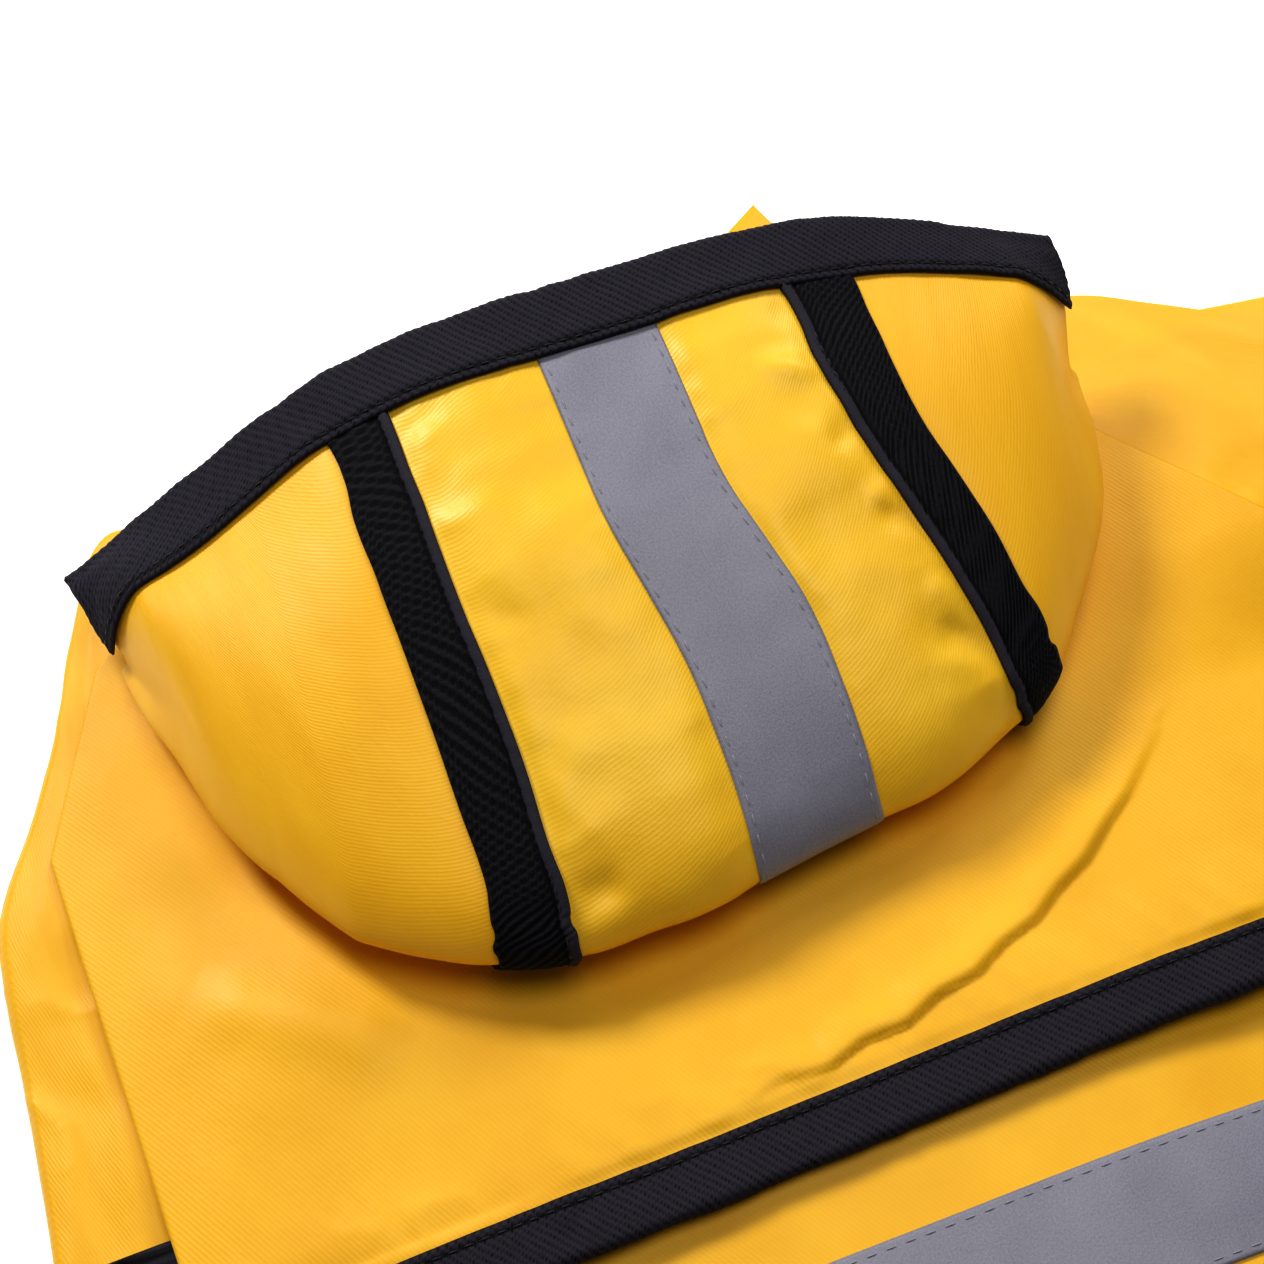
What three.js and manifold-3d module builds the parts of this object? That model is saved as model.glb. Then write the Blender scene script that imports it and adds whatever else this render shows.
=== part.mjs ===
// A hooded raincoat for a medium dog, laid flat on its belly with the hood thrown back.
// Millimetres, +Z up, +Y towards the head, +X to the wearer's right. The origin lies on the flat underside of the
// closed belly, on the spine line. Cloth layers are thicker here than woven cloth, because they hold their air.
import * as THREE from "three";
import { mergeVertices } from "three/addons/utils/BufferGeometryUtils.js";
import Module from "manifold-3d";

// ---- Thicknesses ----
const FABRIC = 1.4; // one cloth layer
const TAPE = 1.0; // binding, elastic, hook tape or loop tape
const FOIL = 0.6; // reflective tape
const GAP = 0.35; // between layers that lie on each other

// ---- Coat body ----
const BODY_HALF = 102; // half width at the side folds
const NECK_Y = 50; // front edge of the body
const TAIL_Y = -285; // rear edge
const TAIL_HALF = 60; // half width of the straight part of the rear edge
const TAIL_ROUND = 70; // length of each rounded rear corner
const BACK_HEIGHT = 14; // crest of the back panel over the table
const TAIL_HEIGHT = 5.5; // the same at the rear edge
const BACK_ARCH = 2.6; // how square the back's cross section is
const BELLY_REAR = -170;
const BELLY_LAP = 22; // each belly panel reaches this far past the spine line
const CLOSURE_WIDTH = 24; // hook tape and loop tape
const CLOSURE_END = 10; // from the tape's end to the panel's end

// ---- Cape, the loose over-layer ----
const CAPE_HALF = 126;
const CAPE_FRONT = 54;
const CAPE_HEM = -95;
const CAPE_ARCH = 3.5;
const FOLD_Y = -57; // the line about which the loose hem lifts
const BINDING = 12; // width that shows of the bindings on edges and cuffs
const SEAM_BINDING = 9;
const PORT_WIDTH = 40; // harness slit in the back panel, under the cape
const PORT_SLOT = 6;
const PORT_Y = -73;
const PORT_RIM = 5;

// ---- Reflective tape ----
const STRIP = 25;
const BACK_STRIP_Y = -117; // its front edge

// ---- Sleeves ----
const SLEEVE_RISE = 4.4; // half height of a flattened sleeve at its root, to the middle of the cloth
const CUFF_RISE = 3.1;
const CAP_RISE = 5.7; // the same at the armhole
const SLEEVE_LENGTH = 76;
const ARM_FRONT = new THREE.Vector2(68, 48); // armhole corners, from the spine line
const ARM_REAR = new THREE.Vector2(117, -10);

// ---- Hood ----
const HOOD_LIFT = 42; // face edge over the neck seam, at the middle
const HOOD_ROLL = 7; // radius of the roll where the hood folds at its crown
const HOOD_BULGE = 6;
const SEAM_AT = 0.25; // share of the face edge where the side panel ends

// ---- Hind leg loops ----
const LOOP_WIDTH = 12;
const LOOP_REACH = 24; // past the body's side

const { Vector3, CatmullRomCurve3 } = THREE;
const wasm = await Module();
wasm.setup();

const mix = (a, b, t) => a + (b - a) * t;
const clamp01 = (t) => Math.min(1, Math.max(0, t));
// 0 where x is at a, 1 where it is at b, with a soft start and stop.
const ease = (a, b, x) => {
  const t = clamp01((x - a) / (b - a));
  return t * t * (3 - 2 * t);
};
const STEP = 1e-3; // for differences
// From -1 to 1 across a width, in shorter steps towards its edges.
const spread = (u) => mix(2 * u - 1, Math.sin(Math.PI * (u - 0.5)), 0.6);
// A smooth line through the points, carried on straight past its ends.
function curve(points) {
  const line = new CatmullRomCurve3(points.map((p) => new Vector3(...p)), false, "centripetal");
  return (t) => {
    const inside = clamp01(t);
    const p = line.getPoint(inside);
    return t === inside ? p : p.multiplyScalar(2).sub(line.getPoint(2 * inside - t));
  };
}

// The unit normal of the surface place(u, v).
function normalAt(place, u, v) {
  const du = place(u + STEP, v).sub(place(u - STEP, v));
  const dv = place(u, v + STEP).sub(place(u, v - STEP));
  return du.cross(dv).normalize();
}

// A closed sheet of cloth about the surface place(u, v), with u and v from 0 to 1.
function sheet(columns, rows, thickness, place) {
  const geometry = new THREE.BoxGeometry(1, 1, 1, columns, rows, 1);
  const at = geometry.getAttribute("position");
  for (let i = 0; i < at.count; i++) {
    const [u, v, w] = [at.getX(i) + 0.5, at.getY(i) + 0.5, at.getZ(i)];
    const p = place(u, v).addScaledVector(normalAt(place, u, v), w * thickness);
    at.setXYZ(i, p.x, p.y, p.z);
  }
  return geometry;
}

// A closed tube wall about the surface place(angle, v), open at both ends.
function tube(around, rows, thickness, place) {
  const steps = Array.from({ length: rows + 1 }, (_, i) => i / rows);
  const outline = [
    ...steps.map((v) => new THREE.Vector2(2, v)),
    ...steps.map((v) => new THREE.Vector2(1, 1 - v)),
    new THREE.Vector2(2, 0),
  ];
  const geometry = new THREE.LatheGeometry(outline, around);
  const at = geometry.getAttribute("position");
  for (let i = 0; i < at.count; i++) {
    const [x, v, z] = [at.getX(i), at.getY(i), at.getZ(i)];
    const angle = Math.atan2(x, z);
    const outward = normalAt(place, angle, v);
    const p = place(angle, v).addScaledVector(outward, (Math.hypot(x, z) - 1.5) * thickness);
    at.setXYZ(i, p.x, p.y, p.z);
  }
  return geometry;
}

// A tape folded round the edge of a cloth. on(u, depth) is the middle of the cloth, at a distance from its edge. The
// tape starts on top, passes round the edge and ends underneath.
const WRAP = FABRIC / 2 + GAP + TAPE / 2; // from the middle of the cloth to the middle of the tape
function binding(columns, leg, on) {
  const ROWS = 8;
  const LEG_ROWS = 2;
  return sheet(columns, ROWS, TAPE, (u, v) => {
    const row = Math.min(v, 1 - v) * ROWS;
    const depth = leg * Math.max(0, 1 - row / LEG_ROWS);
    const p = on(u, depth);
    const up = normalAt(on, u, depth);
    if (depth > 0) return p.addScaledVector(up, v < 0.5 ? WRAP : -WRAP);
    const turn = (Math.PI * (v * ROWS - LEG_ROWS)) / (ROWS - 2 * LEG_ROWS);
    const inward = on(u, STEP).sub(p).normalize();
    return p.addScaledVector(inward, -WRAP * Math.sin(turn)).addScaledVector(up, WRAP * Math.cos(turn));
  });
}

const toSolid = (geometry) => {
  const bare = geometry.clone();
  bare.deleteAttribute("normal");
  bare.deleteAttribute("uv");
  const merged = mergeVertices(bare, 1e-4);
  const mesh = new wasm.Mesh({
    numProp: 3,
    vertProperties: merged.getAttribute("position").array,
    triVerts: new Uint32Array(merged.index.array),
  });
  return new wasm.Manifold(mesh);
};
const toGeometry = (solid) => {
  const mesh = solid.getMesh();
  return new THREE.BufferGeometry()
    .setAttribute("position", new THREE.BufferAttribute(mesh.vertProperties, 3))
    .setIndex(new THREE.BufferAttribute(mesh.triVerts, 1));
};

// ---- Materials ----
const cloth = (color, roughness) => new THREE.MeshStandardMaterial({ color, roughness, metalness: 0 });
const yellow = cloth(0xf2b828, 0.55);
const black = cloth(0x17161a, 0.9);
const silver = cloth(0x87868f, 0.5);

const coat = new THREE.Group();
coat.name = "dog_raincoat";
function add(name, geometry, material) {
  const mesh = new THREE.Mesh(geometry, material);
  mesh.name = name;
  coat.add(mesh);
}

// ---- Heights of the layers ----
const BELLY_LOW = FABRIC / 2;
const LOOP_Z = FABRIC + GAP + TAPE / 2;
const HOOK_Z = LOOP_Z + TAPE + GAP;
const BELLY_HIGH = HOOK_Z + TAPE / 2 + GAP + FABRIC / 2;
const BACK_EDGE = FABRIC + GAP + FABRIC / 2; // on the belly panels
const TAIL_EDGE = TAPE + 2 * GAP + TAPE + FABRIC / 2 + 3 * GAP; // over the leg loops, with room for the binding
const CAPE_HEIGHT = BACK_HEIGHT + FABRIC + TAPE + 2 * GAP; // over the rim of the harness port
const SLEEVE_Z = SLEEVE_RISE + FABRIC / 2 + GAP / 2;
const CAPE_EDGE_HIGH = SLEEVE_Z + SLEEVE_RISE + FABRIC + 4 * GAP; // over a sleeve
const CAPE_EDGE_LOW = 2 * WRAP;

const bodyHalf = (y) => {
  const along = clamp01((TAIL_Y + TAIL_ROUND - y) / TAIL_ROUND);
  return mix(TAIL_HALF, BODY_HALF, Math.sqrt(1 - along * along));
};
const backZ = (x, y) => {
  const crest = mix(BACK_HEIGHT, TAIL_HEIGHT, ease(BACK_STRIP_Y, TAIL_Y, y));
  const edge = mix(BACK_EDGE, TAIL_EDGE, ease(BELLY_REAR, BELLY_REAR - 25, y));
  return mix(edge, crest, 1 - Math.min(1, Math.abs(x / BODY_HALF)) ** BACK_ARCH);
};
const CUFF_Y = ARM_REAR.y - 4 - SLEEVE_LENGTH * 0.8; // rear end of the sleeve that lies under the cape
const capeEdgeZ = (x, y) =>
  x < 0
    ? mix(CAPE_EDGE_HIGH, CAPE_EDGE_LOW + 3, ease(CUFF_Y - 3, CAPE_HEM, y))
    : mix(CAPE_EDGE_HIGH, CAPE_EDGE_LOW, ease(ARM_REAR.y, ARM_REAR.y - 30, y));
const capeZ = (x, y) =>
  mix(capeEdgeZ(x, y), CAPE_HEIGHT, 1 - Math.min(1, Math.abs(x / CAPE_HALF)) ** CAPE_ARCH);

// Distance from the spine line to the armhole seam at y.
const armholeX = (y) => mix(ARM_REAR.x, ARM_FRONT.x, (y - ARM_REAR.y) / (ARM_FRONT.y - ARM_REAR.y));

// ---- Back panel, its reflective tape and the harness port ----
const backInset = (y) => {
  const inArmhole = y > ARM_REAR.y - 2;
  return inArmhole ? Math.min(bodyHalf(y), armholeX(y) - FABRIC) : bodyHalf(y);
};
const backPanel = sheet(14, 18, FABRIC, (u, v) => {
  const y = mix(TAIL_Y, NECK_Y, v);
  const x = spread(u) * backInset(y);
  return new Vector3(x, y, backZ(x, y));
});
function slot(width, length, height, z) {
  const shape = new THREE.Shape();
  const straight = (length - width) / 2;
  shape.absarc(straight, 0, width / 2, -Math.PI / 2, Math.PI / 2);
  shape.absarc(-straight, 0, width / 2, Math.PI / 2, (3 * Math.PI) / 2);
  const options = { depth: height, bevelEnabled: false, curveSegments: 6 };
  const made = new THREE.ExtrudeGeometry(shape, options);
  return made.translate(0, PORT_Y, z);
}
const portHole = toSolid(slot(PORT_SLOT, PORT_WIDTH, 3 * BACK_HEIGHT, 0));
add("back_panel", toGeometry(toSolid(backPanel).subtract(portHole)), yellow);
const rimBottom = BACK_HEIGHT + FABRIC / 2 + GAP;
const rim = toSolid(slot(PORT_SLOT + 2 * PORT_RIM, PORT_WIDTH + 2 * PORT_RIM, TAPE, rimBottom));
add("harness_port_rim", toGeometry(rim.subtract(portHole)), black);

const onBack = (x, y, lift) => new Vector3(x, y, backZ(x, y) + lift);
add(
  "back_reflective_strip",
  sheet(14, 2, FOIL, (u, v) => {
    const y = mix(BACK_STRIP_Y - STRIP, BACK_STRIP_Y, v);
    return onBack(spread(u) * (BODY_HALF - FABRIC), y, FABRIC / 2 + GAP + FOIL / 2);
  }),
  silver,
);

// The rear edge, from the belly's rear corner on the left, round the tail, to the one on the right.
const rearEdge = new THREE.Path();
rearEdge.moveTo(-BODY_HALF, BELLY_REAR - 2);
rearEdge.lineTo(-BODY_HALF, TAIL_Y + TAIL_ROUND);
rearEdge.absellipse(-TAIL_HALF, TAIL_Y + TAIL_ROUND, BODY_HALF - TAIL_HALF, TAIL_ROUND, Math.PI, 1.5 * Math.PI);
rearEdge.absellipse(TAIL_HALF, TAIL_Y + TAIL_ROUND, BODY_HALF - TAIL_HALF, TAIL_ROUND, 1.5 * Math.PI, 2 * Math.PI);
rearEdge.lineTo(BODY_HALF, BELLY_REAR - 2);
add(
  "tail_binding",
  binding(34, BINDING, (u, depth) => {
    const p = rearEdge.getPointAt(clamp01(u));
    const t = rearEdge.getTangentAt(clamp01(u));
    const [x, y] = [p.x - t.y * depth, p.y + t.x * depth];
    return new Vector3(x, y, backZ(x, y));
  }),
  black,
);

// ---- Belly panels and their closure ----
const bellyOuter = (y) => Math.min(BODY_HALF - GAP, armholeX(y) - FABRIC);
add(
  "left_belly_panel",
  sheet(4, 12, FABRIC, (u, v) => {
    const y = mix(BELLY_REAR, NECK_Y, v);
    return new Vector3(mix(-bellyOuter(y), BELLY_LAP, u), y, BELLY_LOW);
  }),
  yellow,
);
// The right panel lies on the closure in the middle and comes down to the table at the side. Its throat corner
// sticks out past the neck.
const THROAT = [[0, 0], [0.4375, 32], [0.8125, 50], [0.9375, 8], [1, 0]]; // share of the width, height past the neck
const throatRise = (u) => {
  const i = THROAT.findIndex(([at]) => at > u - 1e-9);
  if (i < 1) return i < 0 ? 0 : THROAT[0][1];
  const [[a, low], [b, high]] = [THROAT[i - 1], THROAT[i]];
  return mix(low, high, (u - a) / (b - a));
};
add(
  "right_belly_panel",
  sheet(16, 10, FABRIC, (u, v) => {
    const y = mix(BELLY_REAR, NECK_Y + throatRise(u), v);
    const x = mix(-BELLY_LAP, bellyOuter(Math.min(y, NECK_Y)), u);
    return new Vector3(x, y, mix(BELLY_HIGH, BELLY_LOW, ease(BELLY_LAP + 6, BELLY_LAP + 42, x)));
  }),
  yellow,
);
const closure = (z) =>
  sheet(1, 6, TAPE, (u, v) => {
    const y = mix(BELLY_REAR + CLOSURE_END, NECK_Y - CLOSURE_END, v);
    return new Vector3(mix(-0.5, 0.5, u) * CLOSURE_WIDTH, y, z);
  });
add("belly_loop_tape", closure(LOOP_Z), black);
add("belly_hook_tape", closure(HOOK_Z), black);

// ---- Cape: a fixed yoke, and a loose hem that lifts about the fold line ----
const capeLeft = (y) => {
  if (y < 6) return -CAPE_HALF;
  return y < 40 ? mix(-CAPE_HALF, -CAPE_HALF + 19, (y - 6) / 34) : mix(-CAPE_HALF + 19, -ARM_FRONT.x - 20, (y - 40) / 14);
};
const capeRight = (y) => {
  const seam = armholeX(y) - GAP - 0.5 * TAPE;
  if (y > ARM_REAR.y) return seam;
  return Math.min(CAPE_HALF, mix(armholeX(ARM_REAR.y) - GAP - 0.5 * TAPE, CAPE_HALF, (ARM_REAR.y - y) / 20));
};
const cape = (rows, rear, front) =>
  sheet(20, rows, FABRIC, (u, v) => {
    const y = mix(rear, front, v);
    const x = mix(capeLeft(y), capeRight(y), (spread(u) + 1) / 2);
    return new Vector3(x, y, capeZ(x, y));
  });
add("cape_yoke", cape(11, FOLD_Y + GAP / 2, CAPE_FRONT), yellow);
add("cape_flap", cape(8, CAPE_HEM, FOLD_Y - GAP / 2), yellow);
add(
  "cape_hem_binding",
  binding(20, BINDING, (u, depth) => {
    const x = spread(u) * CAPE_HALF;
    return new Vector3(x, CAPE_HEM + depth, capeZ(x, CAPE_HEM + depth));
  }),
  black,
);

// ---- Sleeves: a cap that stays on the coat, and a leg that swings ----
// The middle of a flattened tube's cloth, between the side lines near(v) and far(v), with its half height at each
// end. lift is what its far end is raised by.
const flattened = (near, far, riseFrom, riseTo, lift) => (angle, v) => {
  const [a, b] = [near(v), far(v)];
  const rise = mix(riseFrom, riseTo, v);
  const across = a.clone().sub(b);
  const half = across.length() / 2;
  const flat = Math.max(-1, Math.min(1, 1.6 * Math.cos(angle)));
  return a
    .add(b)
    .multiplyScalar(0.5)
    .addScaledVector(across.normalize(), (half - rise) * flat + rise * Math.cos(angle))
    .add(new Vector3(0, 0, rise * (1 + Math.sin(angle)) + FABRIC / 2 + GAP / 2 + v * lift));
};
const straight = (x0, y0, x1, y1) => (v) => new Vector3(mix(x0, x1, v), mix(y0, y1, v), 0);
const flat = (points) => curve(points.map(([x, y]) => [x, y, 0]));

// Left: folded back along the body, under the cape's side. The rear line hardly moves, so the cap fans round it.
const SPLIT = 2.4 * GAP; // between a cap and its leg
const LEFT_INNER = -BODY_HALF - 3;
const LEFT_OUTER = LEFT_INNER - 36;
const leftRootY = ARM_REAR.y - 4;
const leftCapFront = flat([
  [-ARM_FRONT.x, ARM_FRONT.y + 2],
  [-ARM_FRONT.x - 30, ARM_FRONT.y + 5],
  [-ARM_FRONT.x - 52, ARM_FRONT.y - 14],
  [LEFT_OUTER + 3, leftRootY + 14],
  [LEFT_OUTER, leftRootY],
]);
const leftCapRear = straight(-ARM_REAR.x, ARM_REAR.y, LEFT_INNER, leftRootY);
const leftCap = flattened(leftCapRear, leftCapFront, CAP_RISE - 0.4, SLEEVE_RISE, 0);
add("left_sleeve_cap", tube(16, 9, FABRIC, leftCap), yellow);
const leftEndY = leftRootY - SLEEVE_LENGTH * 0.8;
const leftFront = straight(LEFT_OUTER, leftRootY - SPLIT, LEFT_OUTER - 7, leftEndY);
const leftRear = straight(LEFT_INNER, leftRootY - SPLIT, LEFT_INNER - 5, leftEndY);
const CUFF_LIFT = WRAP - FABRIC / 2 + TAPE;
const leftLeg = flattened(leftRear, leftFront, SLEEVE_RISE, CUFF_RISE, CUFF_LIFT);
add("left_sleeve", tube(16, 4, FABRIC, leftLeg), yellow);

// Right: pointing away from the body.
const RIGHT_ROOT = 126;
const rightCapFront = straight(ARM_FRONT.x, ARM_FRONT.y, RIGHT_ROOT, ARM_FRONT.y - 7);
const rightCapRear = straight(ARM_REAR.x, ARM_REAR.y, RIGHT_ROOT, ARM_REAR.y - 4);
const rightCap = flattened(rightCapFront, rightCapRear, CAP_RISE + 0.6, SLEEVE_RISE, 0);
add("right_sleeve_cap", tube(16, 4, FABRIC, rightCap), yellow);
const rightEndX = RIGHT_ROOT + SLEEVE_LENGTH;
const rightFront = straight(RIGHT_ROOT + SPLIT, ARM_FRONT.y - 7, rightEndX, ARM_FRONT.y - 18);
const rightRear = straight(RIGHT_ROOT + SPLIT, ARM_REAR.y - 4, rightEndX, ARM_REAR.y - 2);
const rightLeg = flattened(rightFront, rightRear, SLEEVE_RISE, CUFF_RISE, CUFF_LIFT);
add("right_sleeve", tube(16, 4, FABRIC, rightLeg), yellow);

// A cuff is an elastic tape round the last stretch of its sleeve.
const cuff = (leg) =>
  tube(16, 1, TAPE, (angle, v) => {
    const at = mix(1 - BINDING / SLEEVE_LENGTH, 1, v);
    return leg(angle, at).addScaledVector(normalAt(leg, angle, at), WRAP);
  });
add("left_cuff_binding", cuff(leftLeg), black);
add("right_cuff_binding", cuff(rightLeg), black);

// ---- Hood: a pouch whose upper wall runs from the face edge to the crown, and whose lower wall runs back to the neck ----
const HOOD_REST = FABRIC + TAPE + 3 * GAP; // from the cape's middle to the lower wall's
const SEAT = (x, y) => capeZ(x, y) + HOOD_REST;
// Along each line, from the left end to the right: [x, y, share of the lift].
const FACE = [[-106, 48, 0.22], [-46, 62, 0.76], [3, 60, 0.9], [49, 58, 0.82], [93, 47, 0.5]];
const CROWN = [[-109, 30], [-88, -20], [-54, -50], [-24, -53], [4, -50], [32, -45], [57, -35], [82, -7], [93, 26]];
const NECK = [[-86, 43], [-48, 48], [0, 50], [48, 48], [78, 43]];
const faceLine = curve(FACE.map(([x, y, lift]) => [x, y, SEAT(x, y) + lift * HOOD_LIFT]));
const crownLine = curve(CROWN.map(([x, y]) => [x, y, 0]));
const neckLine = curve(NECK.map(([x, y]) => [x, y, SEAT(x, y)]));
const profiles = new Map();
function profile(u) {
  const key = u.toFixed(6);
  if (profiles.has(key)) return profiles.get(key);
  const [face, crown, neck] = [faceLine(u), crownLine(u), neckLine(u)];
  const depth = Math.min(1, Math.hypot(face.x - crown.x, face.y - crown.y) / (6 * HOOD_ROLL));
  const roll = HOOD_ROLL * mix(0.6, 1, depth);
  const inward = new Vector3(neck.x - crown.x, neck.y - crown.y, 0);
  const reach = inward.length();
  inward.normalize();
  const seated = (along, lift) => {
    const p = crown.clone().addScaledVector(inward, along);
    p.z = SEAT(p.x, p.y) + lift;
    return p;
  };
  const tip = seated(0, roll);
  const low = seated(Math.min(1.2 * roll, 0.4 * reach), 1.2);
  const under = seated(mix(1.2 * roll, reach, 0.5), 1);
  const high = seated(0.8 * roll, 2 * roll);
  const upper = high.clone().lerp(face, 0.5).add(new Vector3(0, 0, HOOD_BULGE * depth));
  const line = curve([face, upper, high, tip, low, under, neck].map((p) => p.toArray()));
  profiles.set(key, line);
  return line;
}
// u runs along the face edge and v from the face edge, round the crown, to the neck.
function hood(u, v) {
  const inside = clamp01(u);
  const p = profile(inside)(v);
  return u === inside ? p : p.multiplyScalar(2).sub(profile(2 * inside - u)(v));
}
const HALF_SEAM = 0.0012; // half the slit between two hood panels, as a share of the face edge
const panel = (columns, from, to) => sheet(columns, 24, FABRIC, (u, v) => hood(mix(from, to, u), 1 - v));
add("hood_left_panel", panel(8, 0, SEAM_AT - HALF_SEAM), yellow);
add("hood_centre_panel", panel(10, SEAM_AT + HALF_SEAM, 1 - SEAM_AT - HALF_SEAM), yellow);
add("hood_right_panel", panel(8, 1 - SEAM_AT + HALF_SEAM, 1), yellow);

const hoodNormal = (u, v) => normalAt((a, b) => hood(a, 1 - b), u, 1 - v);
// The share of the way round at which a line is at this distance from the face edge. At the hood's ends, where the
// upper wall is short, it stays within the share MOST.
const MOST = 0.09;
const faceShare = (u, depth) =>
  MOST * Math.tanh((0.05 * depth) / hood(u, 0.05).distanceTo(hood(u, 0)) / MOST);
add("hood_face_binding", binding(32, BINDING, (u, depth) => hood(u, faceShare(u, depth))), black);
// A tape sewn on the outside of the hood along the line at share u, from the face binding to near the neck seam.
function hoodTape(at, width, thickness, columns) {
  const from = faceShare(at, BINDING + 5 * GAP);
  const lift = FABRIC / 2 + GAP + thickness / 2;
  return sheet(columns, 24, thickness, (u, v) => {
    const along = mix(0.92, from, v);
    const side = hood(at + 0.01, along).distanceTo(hood(at - 0.01, along)) / 0.02;
    const across = at + ((u - 0.5) * width) / side;
    return hood(across, along).addScaledVector(hoodNormal(across, along), lift);
  });
}
add("hood_left_seam_binding", hoodTape(SEAM_AT, SEAM_BINDING, TAPE, 2), black);
add("hood_right_seam_binding", hoodTape(1 - SEAM_AT, SEAM_BINDING, TAPE, 2), black);
add("hood_reflective_strip", hoodTape(0.5, STRIP, FOIL, 3), silver);

// The neck seam's tape lies on the cape, and the hood's rear edge lies on it.
add(
  "neck_seam_tape",
  sheet(20, 1, TAPE, (u, v) => {
    const p = neckLine(u);
    const y = p.y - 4 + v * 7;
    return new Vector3(mix(-1, 1, u) * (ARM_FRONT.x - 6), y, capeZ(mix(-1, 1, u) * (ARM_FRONT.x - 6), y) + WRAP);
  }),
  black,
);

// ---- Elastic loops for the hind legs, sewn under the back panel ----
function legLoop(side) {
  const line = flat([
    [side * (BODY_HALF - 26), BELLY_REAR - 26],
    [side * (BODY_HALF + 4), BELLY_REAR - 33],
    [side * (BODY_HALF + LOOP_REACH), BELLY_REAR - 58],
    [side * (BODY_HALF + 4), BELLY_REAR - 82],
    [side * (BODY_HALF - 36), BELLY_REAR - 82],
  ]);
  return sheet(22, 1, TAPE, (u, v) => {
    const c = line(clamp01(u));
    const ahead = line(Math.min(1, clamp01(u) + 0.01)).sub(line(Math.max(0, clamp01(u) - 0.01))).normalize();
    const p = c.add(new Vector3(ahead.y, -ahead.x, 0).multiplyScalar((0.5 - v) * LOOP_WIDTH));
    const inside = bodyHalf(p.y) - BINDING - Math.abs(p.x);
    p.z = mix(TAPE / 2, backZ(p.x, p.y) - WRAP - GAP / 2, ease(2, 9, inside));
    return p;
  });
}
add("left_leg_loop", legLoop(-1), black);
add("right_leg_loop", legLoop(1), black);

export default coat;
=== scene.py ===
"""A hooded raincoat for a medium dog, laid flat on its belly with its hood thrown back.

The CAD frame gives each piece its place. This script lays the cloth, the ribbed tapes, the reflective
tapes and their stitches over the same surfaces. Sizes are in millimetres unless a name says otherwise,
+Z up, +Y towards the head and +X to the wearer's right.
"""
import math

import bpy
import numpy as np
from mathutils import Matrix, Vector


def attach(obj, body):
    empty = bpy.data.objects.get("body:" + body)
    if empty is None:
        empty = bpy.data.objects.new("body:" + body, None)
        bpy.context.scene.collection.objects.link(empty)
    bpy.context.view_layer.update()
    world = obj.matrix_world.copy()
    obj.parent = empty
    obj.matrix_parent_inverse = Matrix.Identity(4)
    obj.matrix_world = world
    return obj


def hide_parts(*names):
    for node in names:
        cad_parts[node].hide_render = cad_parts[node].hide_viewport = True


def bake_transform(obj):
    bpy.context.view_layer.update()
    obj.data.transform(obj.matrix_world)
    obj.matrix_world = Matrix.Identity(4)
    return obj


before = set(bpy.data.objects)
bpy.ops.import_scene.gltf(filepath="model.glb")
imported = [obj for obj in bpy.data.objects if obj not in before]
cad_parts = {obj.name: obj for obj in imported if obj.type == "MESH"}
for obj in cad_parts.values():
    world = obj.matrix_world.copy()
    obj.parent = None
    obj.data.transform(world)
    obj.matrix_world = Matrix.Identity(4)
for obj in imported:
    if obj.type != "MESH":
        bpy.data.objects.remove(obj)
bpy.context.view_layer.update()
MM = 0.001

# ---- Driving sizes, the same as the frame's ----
LAYER = 1.4  # a cloth layer of the frame, with its air
TAPE = 1.0
GAP = 0.35
BODY_HALF, NECK_Y, TAIL_Y, TAIL_HALF, TAIL_ROUND = 102, 50, -285, 60, 70
BACK_HEIGHT, TAIL_HEIGHT, BACK_ARCH = 14, 5.5, 2.6
BELLY_REAR, BELLY_LAP, CLOSURE_WIDTH, CLOSURE_END = -170, 22, 24, 10
CAPE_HALF, CAPE_FRONT, CAPE_HEM, CAPE_ARCH = 126, 54, -95, 3.5
BINDING = 12
PORT_WIDTH, PORT_SLOT, PORT_Y, PORT_RIM = 40, 6, -73, 5
STRIP, BACK_STRIP_Y = 25, -117
SLEEVE_RISE, CUFF_RISE, CAP_RISE, SLEEVE_LENGTH = 4.4, 3.1, 5.7, 76
ARM_FRONT, ARM_REAR = (68, 48), (117, -10)
HOOD_LIFT, HOOD_ROLL, HOOD_BULGE, SEAM_AT = 42, 7, 6, 0.25
LOOP_WIDTH, LOOP_REACH = 12, 24

# ---- The finer thicknesses of the real cloth and tape ----
CLOTH = 0.7
RIBBON = 0.9
SILVER = 0.35

WRAP = LAYER / 2 + GAP + TAPE / 2
BELLY_LOW = LAYER / 2
LOOP_Z = LAYER + GAP + TAPE / 2
HOOK_Z = LOOP_Z + TAPE + GAP
BELLY_HIGH = HOOK_Z + TAPE / 2 + GAP + LAYER / 2
BACK_EDGE = LAYER + GAP + LAYER / 2
TAIL_EDGE = TAPE + 2 * GAP + TAPE + LAYER / 2 + 3 * GAP
CAPE_HEIGHT = BACK_HEIGHT + LAYER + TAPE + 2 * GAP
SLEEVE_Z = SLEEVE_RISE + LAYER / 2 + GAP / 2
CAPE_EDGE_HIGH = SLEEVE_Z + SLEEVE_RISE + LAYER + 4 * GAP
CAPE_EDGE_LOW = 2 * WRAP
HOOD_REST = LAYER + TAPE + 3 * GAP
CUFF_LIFT = WRAP - LAYER / 2 + TAPE
SPLIT = 2.4 * GAP
LEFT_ROOT_Y = ARM_REAR[1] - 4
RIGHT_ROOT = 126
CUFF_Y = LEFT_ROOT_Y - SLEEVE_LENGTH * 0.8


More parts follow.
